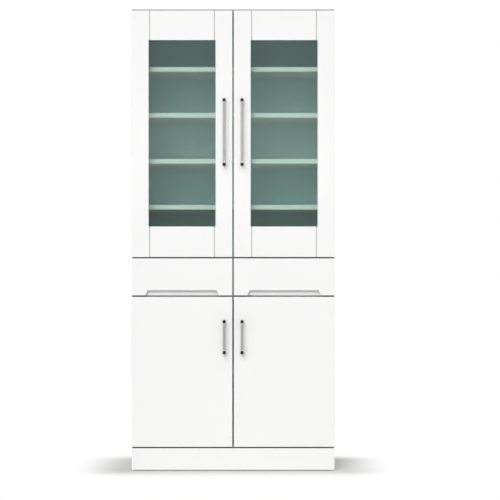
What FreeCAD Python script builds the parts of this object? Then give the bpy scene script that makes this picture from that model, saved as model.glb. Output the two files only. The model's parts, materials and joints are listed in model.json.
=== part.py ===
import FreeCAD, Part
import os
import re
import Sketcher
from FreeCAD import Placement, Rotation, Vector

# White two-stage kitchen cupboard: glass doors above, two drawers, plain doors below.
# Millimetres, +Z up, the front faces -Y, the origin is the middle of the bottom.

SIZES = [
    # whole cupboard
    ("cupboard_width", 790, "outside of the sides"),
    ("cupboard_height", 1800, "floor to top"),
    ("cupboard_depth", 420, "back edge to face of the doors"),
    ("lower_height", 830, "floor to the joint between the two cabinets"),
    ("plinth_height", 90, "floor to the joint under the lower doors"),
    ("drawer_height", 150, "joint to joint over a drawer front"),
    # carcass boards
    ("board_thick", 18, "sides, tops, floors and deck"),
    ("back_thick", 5, "back panels"),
    ("back_inset", 14, "back panel to rear edge of the sides"),
    ("back_groove", 6, "groove in the sides for a back panel"),
    ("plinth_thick", 20, "plinth board"),
    ("glide_height", 3, "floor glides"),
    ("glide_radius", 8, "floor glides"),
    ("glide_ease", 1, "bevel under a floor glide"),
    ("glide_setback", 45, "glide to front or back edge of a side"),
    ("fit_gap", 0.1, "clearance of glued and slotted fits"),
    ("hole_gap", 0.5, "spare depth of blind holes"),
    # fronts
    ("front_thick", 20, "doors and drawer fronts"),
    ("front_stand_off", 3, "air between a front and the carcass"),
    ("front_joint", 5, "level gap between fronts"),
    ("centre_joint", 5.5, "upright gap between left and right fronts"),
    ("top_margin", 6.5, "carcass showing over the upper doors"),
    ("edge_ease", 1, "bevel on the front edges"),
    # framed glass doors
    ("stile_width", 70, "upright frame members"),
    ("top_rail_height", 115.5, "level frame member over the glass"),
    ("bottom_rail_height", 119, "level frame member under the glass"),
    ("opening_ease", 4.5, "stile cut back along the glass"),
    ("joint_vee", 1.2, "bevel at each side of a frame joint"),
    ("tenon_length", 12, "stub tenon"),
    ("tenon_thick", 7, "stub tenon"),
    ("tenon_shoulder", 16, "tenon to edge of the rail"),
    ("lip_thick", 7, "frame in front of the glass"),
    ("rebate_width", 8, "frame over the edge of the glass"),
    ("glass_thick", 4, "pane"),
    ("glass_ease", 1, "pane to edge of the rebate"),
    ("bead_thick", 6, "strips that hold the pane"),
    # shelves
    ("shelf_thick", 18, "all shelves"),
    ("shelf_front_inset", 24, "shelf to front of the carcass"),
    ("shelf_back_gap", 4, "shelf to back panel"),
    ("shelf_side_gap", 1, "shelf to side"),
    ("bottom_bay", 170.5, "clear height under the lowest upper shelf"),
    ("top_bay", 205, "clear height over the highest shelf"),
    ("lower_shelf_rise", 272, "clear height under the lower shelf"),
    ("pin_radius", 2.5, "shelf pin in its hole"),
    ("pin_head_radius", 3.5, "shelf pin under the shelf"),
    ("pin_reach", 10, "shelf pin out of the side"),
    ("pin_depth", 10, "shelf pin in the side"),
    ("pin_setback", 60, "pin to front or back edge of a shelf"),
    ("pin_pitch", 32, "spare pin holes"),
    # dowels and screws
    ("dowel_radius", 4, "beech dowels"),
    ("dowel_length", 30, "beech dowels"),
    ("dowel_bite", 10, "dowel in the face of a board"),
    ("dowel_setback", 60, "dowel to edge of a board"),
    ("docking_inset", 80, "docking dowel to inside of a side"),
    ("screw_radius", 1.75, "wood screw"),
    ("screw_length", 12, "wood screw under the head"),
    ("screw_head_radius", 3.4, "wood screw"),
    ("screw_head_height", 1.8, "wood screw"),
    ("screw_rim_height", 0.9, "upright rim of a screw head"),
    ("screw_crown_radius", 1.7, "flat on top of a screw head"),
    ("joiner_width", 11, "plates joining the cabinets"),
    ("joiner_length", 120, "plates joining the cabinets"),
    ("joiner_thick", 2, "plates joining the cabinets"),
    ("joiner_screw_pitch", 30, "screws in a joining plate"),
    ("bumper_radius", 3, "soft door bumpers"),
    ("bumper_tip_radius", 2, "flat end of a bumper"),
    ("bumper_ease", 0.2, "bumper to closed front"),
    ("bumper_inset", 40, "bumper to end of its row"),
    # hinges
    ("pivot_inset", 6.5, "hinge axis to outer edge of a door"),
    ("pivot_depth", 9, "hinge axis to back face of a door"),
    ("pivot_radius", 1.25, "hinge pin"),
    ("pivot_gap", 0.05, "running fit of the hinge pin"),
    ("knuckle_radius", 2.4, "eye of the hinge arm"),
    ("knuckle_gap", 0.6, "air round the eye"),
    ("arm_thick", 2, "hinge arm"),
    ("arm_width", 10, "hinge arm"),
    ("arm_length", 66, "hinge arm behind the carcass front"),
    ("hinge_plate_thick", 1.2, "mounting plate"),
    ("hinge_plate_depth", 40, "mounting plate, front to back"),
    ("hinge_plate_height", 46, "mounting plate"),
    ("hinge_screw_pitch", 32, "screws of a mounting plate"),
    ("hinge_setback", 37, "screws to front of the carcass"),
    ("hinge_inset", 100, "hinge to end of a door"),
    ("cup_radius", 17.5, "hinge cup"),
    ("cup_inset", 20.5, "middle of the cup to edge of a door"),
    ("cup_wall", 0.8, "hinge cup"),
    ("cheek_thick", 1.5, "cup walls that hold the pin"),
    ("cheek_gap", 0.5, "hinge arm to cup wall"),
    ("nose_length", 10, "pin housing of the cup"),
    ("flange_thick", 1, "cup flange on the door"),
    ("flange_lead", 9, "middle of the cup to outer edge of its flange"),
    ("flange_tail", 17, "middle of the cup to inner edge of its flange"),
    ("flange_height", 60, "cup flange"),
    # handles
    ("handle_reach", 30, "door face to front of a handle"),
    ("handle_inset", 32, "handle to meeting edge of a door"),
    ("upper_handle_pitch", 250, "post to post"),
    ("lower_handle_pitch", 120, "post to post"),
    ("upper_handle_rise", 486, "bottom of an upper door to middle of its handle"),
    ("lower_handle_drop", 156, "top of a lower door to middle of its handle"),
    ("post_radius", 6.5, "handle post"),
    ("post_ease", 1, "bevel at the end of a post"),
    ("stud_radius", 2, "threaded end of a post in the door"),
    ("stud_length", 16, "threaded end of a post in the door"),
    ("bar_radius", 5, "handle bar"),
    ("bar_stand_off", 23, "door face to middle of the bar"),
    ("bar_socket", 3, "bar end in a post"),
    # drawers
    ("notch_top_width", 268, "finger notch"),
    ("notch_bottom_width", 286, "finger notch"),
    ("notch_height", 19.5, "finger notch"),
    ("notch_lip", 5, "finger lip over the notch"),
    ("notch_web", 4, "wall left behind the notch"),
    ("notch_undercut", 9, "hollow behind the finger lip"),
    ("box_side_gap", 2, "drawer box to the wall of its bay"),
    ("box_floor_gap", 1.5, "drawer box to the deck"),
    ("box_top_gap", 14, "drawer box to the board above"),
    ("box_length", 350, "drawer box"),
    ("box_side_thick", 14, "drawer box sides"),
    ("box_end_thick", 12, "drawer box front and back"),
    ("box_bottom_thick", 5, "drawer bottom"),
    ("box_bottom_rise", 9, "drawer bottom to lower edge of the box"),
    ("box_groove", 5, "groove for the drawer bottom"),
    ("runner_thick", 8.5, "runner strip out of the wall"),
    ("runner_height", 11, "runner strip"),
    ("runner_rise", 50, "runner strip to the deck"),
    ("runner_setback", 30, "runner strip to front of the carcass"),
    ("runner_sink", 4.5, "screw head in the strip"),
    ("slide_gap", 0.3, "runner strip in its groove"),
    ("slide_stop", 22, "end of the groove to front of the box"),
]

doc = FreeCAD.newDocument("cupboard")
sheet = doc.addObject("Spreadsheet::Sheet", "Sizes")
for row, (alias, size, meaning) in enumerate(SIZES, start=1):
    sheet.set("A%d" % row, meaning)
    sheet.set("B%d" % row, str(size))
    sheet.setAlias("B%d" % row, alias)
doc.recompute()

pieces = []


# Expressions


def named(expression):
    """Point every plain word of an expression at its cell of the sheet."""
    return re.sub(r"[a-z_]{3,}", lambda word: "Sizes." + word.group(), expression)


def number(expression):
    return float(sheet.evalExpression(named(expression)))


def bind(item, **expressions):
    for field, expression in expressions.items():
        item.setExpression(field, named(expression))


def locate(item, x, y, z):
    for axis, expression in zip("xyz", (x, y, z)):
        item.setExpression("Placement.Base." + axis, named(expression))


def beside(side, near, far):
    """Span between two distances from the middle plane, on the left (-1) or right (1)."""
    if side > 0:
        return (near, far)
    return ("-(%s)" % far, "-(%s)" % near)


def signed(side, expression):
    return expression if side > 0 else "-(%s)" % expression


# Solids


TURNS = {
    "x": Rotation(Vector(0, 1, 0), 90),
    "-x": Rotation(Vector(0, 1, 0), -90),
    "y": Rotation(Vector(1, 0, 0), -90),
    "-y": Rotation(Vector(1, 0, 0), 90),
    "z": Rotation(),
    "-z": Rotation(Vector(1, 0, 0), 180),
    "mirror": Rotation(Vector(0, 1, 0), 180),
}


def box(name, x, y, z):
    """Block between three (low, high) spans."""
    item = doc.addObject("Part::Box", name)
    sizes = ["(%s) - (%s)" % (high, low) for low, high in (x, y, z)]
    bind(item, Length=sizes[0], Width=sizes[1], Height=sizes[2])
    locate(item, x[0], y[0], z[0])
    return item


def cylinder(name, radius, low, high):
    """Round bar on the Z axis."""
    item = doc.addObject("Part::Cylinder", name)
    bind(item, Radius=radius, Height="(%s) - (%s)" % (high, low))
    locate(item, "0", "0", low)
    return item


def group(name, items):
    item = doc.addObject("Part::Compound", name)
    item.Links = items
    return item


def fuse(name, items):
    item = doc.addObject("Part::MultiFuse", name)
    item.Shapes = items
    return item


def cut(name, base, *tools):
    item = doc.addObject("Part::Cut", name)
    item.Base = base
    item.Tool = tools[0] if len(tools) == 1 else group(name + "_cuts", list(tools))
    return item


def copy(name, master, x, y, z, turn="z"):
    """The master piece again, turned and put in its place."""
    item = doc.addObject("App::Link", name)
    item.LinkedObject = master
    item.LinkTransform = True
    item.Placement = Placement(Vector(), TURNS[turn])
    locate(item, x, y, z)
    return item


def keep(item):
    """Count a finished piece in."""
    pieces.append(item)
    return item


def outline(body, plane, points):
    """Closed sketch through points given as (across, up) expressions."""
    sketch = body.newObject("Sketcher::SketchObject", body.Name + "_outline")
    support = [item for item in body.Origin.OriginFeatures if item.Role == plane][0]
    sketch.AttachmentSupport = [(support, "")]
    sketch.MapMode = "FlatFace"
    corners = [Vector(number(across), number(up), 0) for across, up in points]
    for place, corner in enumerate(corners):
        following = corners[(place + 1) % len(corners)]
        sketch.addGeometry(Part.LineSegment(corner, following), False)
    for place in range(len(points)):
        following = (place + 1) % len(points)
        sketch.addConstraint(Sketcher.Constraint("Coincident", place, 2, following, 1))
    for place, (across, up) in enumerate(points):
        for kind, expression in (("DistanceX", across), ("DistanceY", up)):
            rule = Sketcher.Constraint(kind, -1, 1, place, 1, number(expression))
            index = sketch.addConstraint(rule)
            sketch.setExpression("Constraints[%d]" % index, named(expression))
    return sketch


def padded(name, plane, points, length, both_ways=False):
    """Body pushed out of an outline."""
    body = doc.addObject("PartDesign::Body", name)
    sketch = outline(body, plane, points)
    pad = body.newObject("PartDesign::Pad", name + "_pad")
    pad.Profile = sketch
    if both_ways:
        pad.SideType = "Symmetric"
    bind(pad, Length=length)
    return body


def turned(name, points):
    """Body turned round the Z axis from an outline of (radius, height) points."""
    body = doc.addObject("PartDesign::Body", name)
    sketch = outline(body, "XZ_Plane", points)
    turning = body.newObject("PartDesign::Revolution", name + "_turning")
    turning.Profile = sketch
    turning.ReferenceAxis = (sketch, ["V_Axis"])
    turning.Angle = 360
    return body


def ease_front(body):
    """Bevel the edges round the front face of a body."""
    doc.recompute()
    tip = body.Tip
    faces = tip.Shape.Faces
    front = min(range(len(faces)), key=lambda index: faces[index].CenterOfMass.y)
    chamfer = body.newObject("PartDesign::Chamfer", body.Name + "_ease")
    chamfer.Base = (tip, ["Face%d" % (front + 1)])
    bind(chamfer, Size="edge_ease")


# Main planes, as expressions of the sheet

FRONT_FACE = "((handle_reach - cupboard_depth) / 2)"
FRONT_BACK = "(%s + front_thick)" % FRONT_FACE
CARCASS_FRONT = "(%s + front_stand_off)" % FRONT_BACK
REAR = "((handle_reach + cupboard_depth) / 2)"
BACK_OUTSIDE = "(%s - back_inset)" % REAR
BACK_INSIDE = "(%s - back_thick)" % BACK_OUTSIDE
OUTSIDE = "(cupboard_width / 2)"
INSIDE = "(cupboard_width / 2 - board_thick)"
BAY_WALL = "(board_thick / 2)"

UPPER_FLOOR = "(lower_height + board_thick)"
UPPER_CEILING = "(cupboard_height - board_thick)"
DECK_MIDDLE = "(lower_height - drawer_height)"
DECK_TOP = "(%s + board_thick / 2)" % DECK_MIDDLE
DECK_UNDER = "(%s - board_thick / 2)" % DECK_MIDDLE
DRAWER_CEILING = "(lower_height - board_thick)"
LOWER_FLOOR = "(plinth_height + board_thick / 2)"
LOWER_UNDER = "(plinth_height - board_thick / 2)"

UPPER_DOOR = ("(lower_height + front_joint / 2)", "(cupboard_height - top_margin)")
DRAWER_FRONT = ("(%s + front_joint / 2)" % DECK_MIDDLE, "(lower_height - front_joint / 2)")
LOWER_DOOR = ("(plinth_height + front_joint / 2)", "(%s - front_joint / 2)" % DECK_MIDDLE)

UPPER_SHELF_COUNT = 4
SHELF_PITCH = "((%s - %s - bottom_bay - top_bay - shelf_thick) / %d)" % (
    UPPER_CEILING,
    UPPER_FLOOR,
    UPPER_SHELF_COUNT - 1,
)
UPPER_SHELVES = [
    "(%s + bottom_bay + %d * %s)" % (UPPER_FLOOR, place, SHELF_PITCH)
    for place in range(UPPER_SHELF_COUNT)
]
LOWER_SHELF = "(%s + lower_shelf_rise)" % LOWER_FLOOR
SHELF_FRONT = "(%s + shelf_front_inset)" % CARCASS_FRONT
SHELF_BACK = "(%s - shelf_back_gap)" % BACK_INSIDE

FULL_DEPTH = (CARCASS_FRONT, REAR)
INNER_DEPTH = (CARCASS_FRONT, BACK_INSIDE)
INNER_WIDTH = ("-" + INSIDE, INSIDE)

MIDDLE_BAY = "((%s + %s + shelf_thick) / 2)" % (UPPER_SHELVES[1], UPPER_SHELVES[2])
UPPER_HINGES = [
    "(%s + hinge_inset)" % UPPER_DOOR[0],
    MIDDLE_BAY,
    "(%s - hinge_inset)" % UPPER_DOOR[1],
]
LOWER_HINGES = ["(%s + hinge_inset)" % LOWER_DOOR[0], "(%s - hinge_inset)" % LOWER_DOOR[1]]


# Dowels, each with its hole through both boards

dowel_master = cylinder("dowel", "dowel_radius", "-dowel_length / 2", "dowel_length / 2")
dowel_bore = cylinder(
    "dowel_bore",
    "dowel_radius + fit_gap",
    "-dowel_length / 2 - hole_gap",
    "dowel_length / 2 + hole_gap",
)
dowels = []
dowel_holes = []


def add_dowel(x, y, z, turn):
    name = "dowel_%d" % len(dowels)
    dowels.append(copy(name, dowel_master, x, y, z, turn))
    dowel_holes.append(copy(name + "_hole", dowel_bore, x, y, z, turn))


DOWEL_SHIFT = "(dowel_length / 2 - dowel_bite)"
DOWEL_ROWS = ["(%s + dowel_setback)" % CARCASS_FRONT, "(%s - dowel_setback)" % BACK_INSIDE]
LEVEL_BOARDS = [
    "(cupboard_height - board_thick / 2)",
    "(lower_height + board_thick / 2)",
    "(lower_height - board_thick / 2)",
    DECK_MIDDLE,
    "plinth_height",
]
PLINTH_TOP = "(plinth_height - front_joint / 2)"
PLINTH_DOWELS = 2

for side in (-1, 1):
    dowel_x = signed(side, "%s - %s" % (INSIDE, DOWEL_SHIFT))
    for dowel_y in DOWEL_ROWS:
        for level in LEVEL_BOARDS:
            add_dowel(dowel_x, dowel_y, level, "x")
        add_dowel(signed(side, INSIDE + " - docking_inset"), dowel_y, "lower_height", "z")
    for place in range(1, PLINTH_DOWELS + 1):
        plinth_z = "%s * %d / %d" % (PLINTH_TOP, place, PLINTH_DOWELS + 1)
        plinth_x = signed(side, OUTSIDE + " - board_thick / 2")
        add_dowel(plinth_x, "%s + %s" % (CARCASS_FRONT, DOWEL_SHIFT), plinth_z, "y")
    rail_y = BACK_INSIDE + " - board_thick / 2"
    add_dowel(dowel_x, rail_y, "plinth_height / 2", "x")
for dowel_y in DOWEL_ROWS:
    add_dowel("0", dowel_y, "%s + %s" % (DECK_TOP, DOWEL_SHIFT), "z")
    add_dowel("0", dowel_y, "%s - %s" % (DRAWER_CEILING, DOWEL_SHIFT), "z")

keep(group("dowels", dowels))
dowel_cuts = group("dowel_cuts", dowel_holes)


# Shelf pins, with spare holes above and below each

pin_master = turned(
    "shelf_pin",
    [
        ("0", "-pin_depth"),
        ("pin_radius", "-pin_depth"),
        ("pin_radius", "0"),
        ("pin_head_radius", "0"),
        ("pin_head_radius", "pin_reach"),
        ("0", "pin_reach"),
    ],
)
pin_bore = cylinder("pin_bore", "pin_radius + fit_gap", "-pin_depth - hole_gap", "0")
pins = []
pin_holes = []

PIN_ROWS = ["(%s + pin_setback)" % SHELF_FRONT, "(%s - pin_setback)" % SHELF_BACK]
PIN_HOLE_STEPS = (-1, 0, 1)
for shelf in UPPER_SHELVES + [LOWER_SHELF]:
    pin_z = "%s - pin_head_radius" % shelf
    for side in (-1, 1):
        turn = "x" if side < 0 else "-x"
        pin_x = signed(side, INSIDE)
        for pin_y in PIN_ROWS:
            pins.append(copy("pin_%d" % len(pins), pin_master, pin_x, pin_y, pin_z, turn))
            for step in PIN_HOLE_STEPS:
                hole_z = "%s + %d * pin_pitch" % (pin_z, step)
                name = "pin_hole_%d" % len(pin_holes)
                pin_holes.append(copy(name, pin_bore, pin_x, pin_y, hole_z, turn))

keep(group("shelf_pins", pins))
pin_cuts = group("pin_cuts", pin_holes)


# Wood screws for hinge plates, runner strips and joining plates

screw_master = turned(
    "wood_screw",
    [
        ("0", "-screw_length"),
        ("screw_radius", "screw_radius - screw_length"),
        ("screw_radius", "0"),
        ("screw_head_radius", "0"),
        ("screw_head_radius", "screw_rim_height"),
        ("screw_crown_radius", "screw_head_height"),
        ("0", "screw_head_height"),
    ],
)
screw_bore = cylinder("screw_bore", "screw_radius + fit_gap", "-screw_length - hole_gap", "0")
screws = []
screw_holes = []


def add_screw(x, y, z, turn):
    name = "screw_%d" % len(screws)
    screws.append(copy(name, screw_master, x, y, z, turn))
    screw_holes.append(copy(name + "_hole", screw_bore, x, y, z, turn))


HINGE_SCREW_Y = "(%s + hinge_setback)" % CARCASS_FRONT
JOINER_Y = "((%s + %s) / 2)" % (BACK_OUTSIDE, REAR)
JOINER_SCREW_STEPS = (-1.5, -0.5, 0.5, 1.5)
for side in (-1, 1):
    inward = "x" if side < 0 else "-x"
    plate_x = signed(side, INSIDE + " - hinge_plate_thick")
    for hinge_z in UPPER_HINGES + LOWER_HINGES:
        for step in (-1, 1):
            screw_z = "%s + %d * hinge_screw_pitch / 2" % (hinge_z, step)
            add_screw(plate_x, HINGE_SCREW_Y, screw_z, inward)
    joiner_x = signed(side, INSIDE + " - joiner_thick")
    for step in JOINER_SCREW_STEPS:
        add_screw(joiner_x, JOINER_Y, "lower_height + %s * joiner_screw_pitch" % step, inward)

RUNNER_FRONT = "(%s + runner_setback)" % CARCASS_FRONT
RUNNER_REAR = "(%s - runner_setback)" % BACK_INSIDE
RUNNER_LENGTH = "(%s - %s)" % (RUNNER_REAR, RUNNER_FRONT)
RUNNER_Z = "(%s + runner_rise + runner_height / 2)" % DECK_TOP
RUNNER_SCREWS = 3
runner_screw_places = []
for side in (-1, 1):
    inward = "x" if side < 0 else "-x"
    outward = "-x" if side < 0 else "x"
    for place in range(RUNNER_SCREWS):
        share = "(%d + 1 / 2) / %d" % (place, RUNNER_SCREWS)
        screw_y = "%s + %s * %s" % (RUNNER_FRONT, RUNNER_LENGTH, share)
        wall_x = signed(side, "%s - runner_thick + runner_sink" % INSIDE)
        middle_x = signed(side, "%s + runner_thick - runner_sink" % BAY_WALL)
        runner_screw_places.append((wall_x, screw_y, inward))
        runner_screw_places.append((middle_x, screw_y, outward))

runner_bore = cylinder("runner_bore", "screw_head_radius + fit_gap", "0", "runner_sink + hole_gap")
runner_sinks = []
for place_x, place_y, turn in runner_screw_places:
    name = "runner_sink_%d" % len(runner_sinks)
    add_screw(place_x, place_y, RUNNER_Z, turn)
    runner_sinks.append(copy(name, runner_bore, place_x, place_y, RUNNER_Z, turn))

keep(group("carcass_screws", screws))
screw_cuts = group("screw_cuts", screw_holes)
runner_cuts = group("runner_cuts", runner_sinks)


# Floor glides

glide_master = turned(
    "glide",
    [
        ("0", "0"),
        ("glide_radius - glide_ease", "0"),
        ("glide_radius", "glide_ease"),
        ("glide_radius", "glide_height"),
        ("screw_radius", "glide_height"),
        ("screw_radius", "glide_height + screw_length"),
        ("0", "glide_height + screw_length"),
    ],
)
glide_bore = cylinder(
    "glide_bore",
    "screw_radius + fit_gap",
    "0",
    "glide_height + screw_length + hole_gap",
)
glides = []
glide_holes = []
for side in (-1, 1):
    glide_x = signed(side, OUTSIDE + " - board_thick / 2")
    for glide_y in (CARCASS_FRONT + " + glide_setback", REAR + " - glide_setback"):
        name = "glide_%d" % len(glides)
        glides.append(copy(name, glide_master, glide_x, glide_y, "0"))
        glide_holes.append(copy(name + "_hole", glide_bore, glide_x, glide_y, "0"))
keep(group("floor_glides", glides))
glide_cuts = group("glide_cuts", glide_holes)


# Carcass boards


def side_board(name, side, z, *cuts):
    """Side of a cabinet with the groove for its back panel."""
    blank = box(name + "_blank", beside(side, INSIDE, OUTSIDE), FULL_DEPTH, z)
    groove_y = (BACK_INSIDE + " - fit_gap", BACK_OUTSIDE + " + fit_gap")
    groove = box(name + "_groove", beside(side, INSIDE, INSIDE + " + back_groove"), groove_y, z)
    return keep(cut(name, blank, groove, *cuts))


def level_board(name, z, y=INNER_DEPTH, x=INNER_WIDTH):
    blank = box(name + "_blank", x, y, z)
    return keep(cut(name, blank, dowel_cuts))


def back_board(name, z):
    reach = "(%s + back_groove - fit_gap)" % INSIDE
    return keep(box(name, ("-" + reach, reach), (BACK_INSIDE, BACK_OUTSIDE), z))


def shelf_board(name, under):
    reach = "(%s - shelf_side_gap)" % INSIDE
    level = (under, under + " + shelf_thick")
    return keep(box(name, ("-" + reach, reach), (SHELF_FRONT, SHELF_BACK), level))


for side, word in ((-1, "left"), (1, "right")):
    upper_z = ("lower_height", "cupboard_height")
    lower_z = ("glide_height", "lower_height")
    side_board("upper_%s_side" % word, side, upper_z, dowel_cuts, pin_cuts, screw_cuts)
    side_board("lower_%s_side" % word, side, lower_z, dowel_cuts, pin_cuts, screw_cuts, glide_cuts)

level_board("upper_top_panel", (UPPER_CEILING, "cupboard_height"))
level_board("upper_floor_panel", ("lower_height", UPPER_FLOOR))
level_board("lower_top_panel", (DRAWER_CEILING, "lower_height"))
level_board("drawer_deck", (DECK_UNDER, DECK_TOP))
level_board("lower_floor_panel", (LOWER_UNDER, LOWER_FLOOR))
level_board(
    "plinth_back_rail",
    ("glide_height", LOWER_UNDER),
    y=(BACK_INSIDE + " - board_thick", BACK_INSIDE),
)
level_board(
    "plinth_front",
    ("glide_height", PLINTH_TOP),
    y=(CARCASS_FRONT + " - plinth_thick", CARCASS_FRONT),
    x=("-" + OUTSIDE, OUTSIDE),
)
divider_blank = box(
    "drawer_divider_blank",
    ("-" + BAY_WALL, BAY_WALL),
    INNER_DEPTH,
    (DECK_TOP, DRAWER_CEILING),
)
keep(cut("drawer_divider", divider_blank, dowel_cuts, screw_cuts))

back_board("upper_back_panel", ("lower_height", "cupboard_height"))
back_board("lower_back_panel", (LOWER_UNDER, "lower_height"))
for place, under in enumerate(UPPER_SHELVES, start=1):
    shelf_board("upper_shelf_%d" % place, under)
shelf_board("lower_shelf", LOWER_SHELF)


# Plates that join the two cabinets behind the back panels

joiners = []
for side, word in ((-1, "left"), (1, "right")):
    joiner_blank = box(
        "joiner_%s_blank" % word,
        beside(side, INSIDE + " - joiner_thick", INSIDE),
        (JOINER_Y + " - joiner_width / 2", JOINER_Y + " + joiner_width / 2"),
        ("lower_height - joiner_length / 2", "lower_height + joiner_length / 2"),
    )
    joiners.append(cut("joiner_%s" % word, joiner_blank, screw_cuts))
keep(group("joining_plates", joiners))


# Soft bumpers on the front edges of the carcass

bumper_master = turned(
    "bumper",
    [
        ("0", "0"),
        ("bumper_radius", "0"),
        ("bumper_radius", "(front_stand_off - bumper_ease) / 2"),
        ("bumper_tip_radius", "front_stand_off - bumper_ease"),
        ("0", "front_stand_off - bumper_ease"),
    ],
)
bumpers = []
MEETING_X = "bumper_inset"
OUTER_X = OUTSIDE + " - bumper_inset"
BUMPER_PLACES = [
    (MEETING_X, "cupboard_height - board_thick / 2"),
    (MEETING_X, "lower_height + board_thick / 2"),
    (MEETING_X, "lower_height - board_thick / 2"),
    (OUTER_X, "lower_height - board_thick / 2"),
    (MEETING_X, DECK_UNDER + " + bumper_radius"),
    (MEETING_X, LOWER_FLOOR + " - bumper_radius"),
]
for side in (-1, 1):
    for bumper_x, bumper_z in BUMPER_PLACES:
        name = "bumper_%d" % len(bumpers)
        place_x = signed(side, bumper_x)
        bumpers.append(copy(name, bumper_master, place_x, CARCASS_FRONT, bumper_z, "-y"))
keep(group("door_bumpers", bumpers))


# Hinges: drawn round the pivot with +X towards the middle of the door and +Y to the back

SIDE_FACE = "(board_thick - pivot_inset)"
ARM_INNER = "(%s + hinge_plate_thick)" % SIDE_FACE
ARM_OUTER = "(%s + arm_thick)" % ARM_INNER
ARM_FRONT = "(pivot_depth + front_stand_off)"
ARM_END = "(%s + arm_length)" % ARM_FRONT

arm_strip = padded(
    "hinge_arm_strip",
    "XY_Plane",
    [
        ("0", "-arm_thick / 2"),
        (ARM_INNER, "-arm_thick / 2"),
        (ARM_OUTER, "arm_thick / 2"),
        (ARM_OUTER, ARM_END),
        (ARM_INNER, ARM_END),
        (ARM_INNER, "arm_thick / 2"),
        ("0", "arm_thick / 2"),
    ],
    "arm_width",
    both_ways=True,
)
arm_eye = cylinder("hinge_arm_eye", "knuckle_radius", "-arm_width / 2", "arm_width / 2")
arm_bore = cylinder("hinge_arm_bore", "pivot_radius + pivot_gap", "-arm_width", "arm_width")
arm_master = cut("hinge_arm", fuse("hinge_arm_blank", [arm_strip, arm_eye]), arm_bore)

PLATE_FRONT = "(%s + hinge_setback - hinge_plate_depth / 2)" % ARM_FRONT
plate_blank = box(
    "hinge_plate_blank",
    (SIDE_FACE, ARM_INNER),
    (PLATE_FRONT, PLATE_FRONT + " + hinge_plate_depth"),
    ("-hinge_plate_height / 2", "hinge_plate_height / 2"),
)
plate_bore = cylinder("hinge_plate_bore", "screw_radius + fit_gap", "-screw_length", "screw_length")
plate_holes = []
for step in (-1, 1):
    name = "hinge_plate_hole_%d" % len(plate_holes)
    hole_y = "%s + hinge_setback" % ARM_FRONT
    hole_z = "%d * hinge_screw_pitch / 2" % step
    plate_holes.append(copy(name, plate_bore, SIDE_FACE, hole_y, hole_z, "x"))
plate_master = cut("hinge_plate", plate_blank, *plate_holes)

CUP_X = "(cup_inset - pivot_inset)"
NOSE_INNER = "(-knuckle_radius - knuckle_gap)"
CUP_FLOOR = "(-knuckle_radius - knuckle_gap)"
CHEEK_INNER = "(arm_width / 2 + cheek_gap)"
CHEEK_OUTER = "(%s + cheek_thick)" % CHEEK_INNER


def cup_solid(name, grow, high):
    """Round cup and its pin housing, grown by a margin, up to a height over the pivot."""
    depth = "%s - (%s)" % (CUP_FLOOR, grow)
    can = cylinder(name + "_can", "cup_radius - cup_wall + (%s)" % grow, depth, high)
    bowl = copy(name + "_bowl", can, CUP_X, "0", "0", "y")
    cheek = "%s + (%s)" % (CHEEK_INNER, grow)
    return bowl, box(
        name + "_nose",
        (NOSE_INNER + " - (%s)" % grow, "nose_length"),
        (depth, high),
        ("-(%s)" % cheek, cheek),
    )


cup_shell = fuse(
    "hinge_cup_shell",
    [
        *cup_solid("hinge_cup_out", "cup_wall", "pivot_depth"),
        box(
            "hinge_cup_cheeks",
            (NOSE_INNER + " - cup_wall", "nose_length"),
            (CUP_FLOOR + " - cup_wall", "pivot_depth"),
            ("-" + CHEEK_OUTER, CHEEK_OUTER),
        ),
        box(
            "hinge_cup_flange",
            (CUP_X + " - flange_lead", CUP_X + " + flange_tail"),
            ("pivot_depth", "pivot_depth + flange_thick"),
            ("-flange_height / 2", "flange_height / 2"),
        ),
    ],
)
cup_hollow = fuse(
    "hinge_cup_hollow",
    list(cup_solid("hinge_cup_in", "0", "pivot_depth + 2 * flange_thick")),
)
cup_pin_hole = cylinder("hinge_cup_pin_hole", "pivot_radius", "-" + CHEEK_OUTER, CHEEK_OUTER)
cup_master = cut("hinge_cup", cut("hinge_cup_bowl", cup_shell, cup_hollow), cup_pin_hole)
pivot_master = cylinder("hinge_pin", "pivot_radius", "-" + CHEEK_OUTER, CHEEK_OUTER)

pocket_master = fuse(
    "hinge_pocket",
    [
        *cup_solid("hinge_pocket_round", "cup_wall + fit_gap", "pivot_depth + flange_thick"),
        box(
            "hinge_pocket_nose",
            (NOSE_INNER + " - cup_wall - fit_gap", "nose_length"),
            (CUP_FLOOR + " - cup_wall - fit_gap", "pivot_depth + flange_thick"),
            ("-%s - fit_gap" % CHEEK_OUTER, CHEEK_OUTER + " + fit_gap"),
        ),
    ],
)

PIVOT_X = "(%s - pivot_inset)" % OUTSIDE
PIVOT_Y = "(%s - pivot_depth)" % FRONT_BACK


def at_hinges(name, master, side, heights):
    """One copy of a hinge piece at each hinge of a door."""
    turn = "z" if side < 0 else "mirror"
    place_x = signed(side, PIVOT_X)
    return [
        copy("%s_%d" % (name, place), master, place_x, PIVOT_Y, height, turn)
        for place, height in enumerate(heights)
    ]


arms = []
plates = []
for side, word in ((-1, "left"), (1, "right")):
    arms += at_hinges("hinge_arm_" + word, arm_master, side, UPPER_HINGES + LOWER_HINGES)
    plates += at_hinges("hinge_plate_" + word, plate_master, side, UPPER_HINGES + LOWER_HINGES)
keep(group("hinge_arms", arms))
keep(group("hinge_plates", plates))


def hang(door, side, heights):
    """Hinge cups with their pins, as one group of the door; returns the pockets they sit in."""
    cups = at_hinges(door + "_cup", cup_master, side, heights)
    pivots = at_hinges(door + "_hinge_pin", pivot_master, side, heights)
    keep(group(door + "_hinge_cups", cups + pivots))
    return group(door + "_pockets", at_hinges(door + "_pocket", pocket_master, side, heights))


# Bar handles

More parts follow.
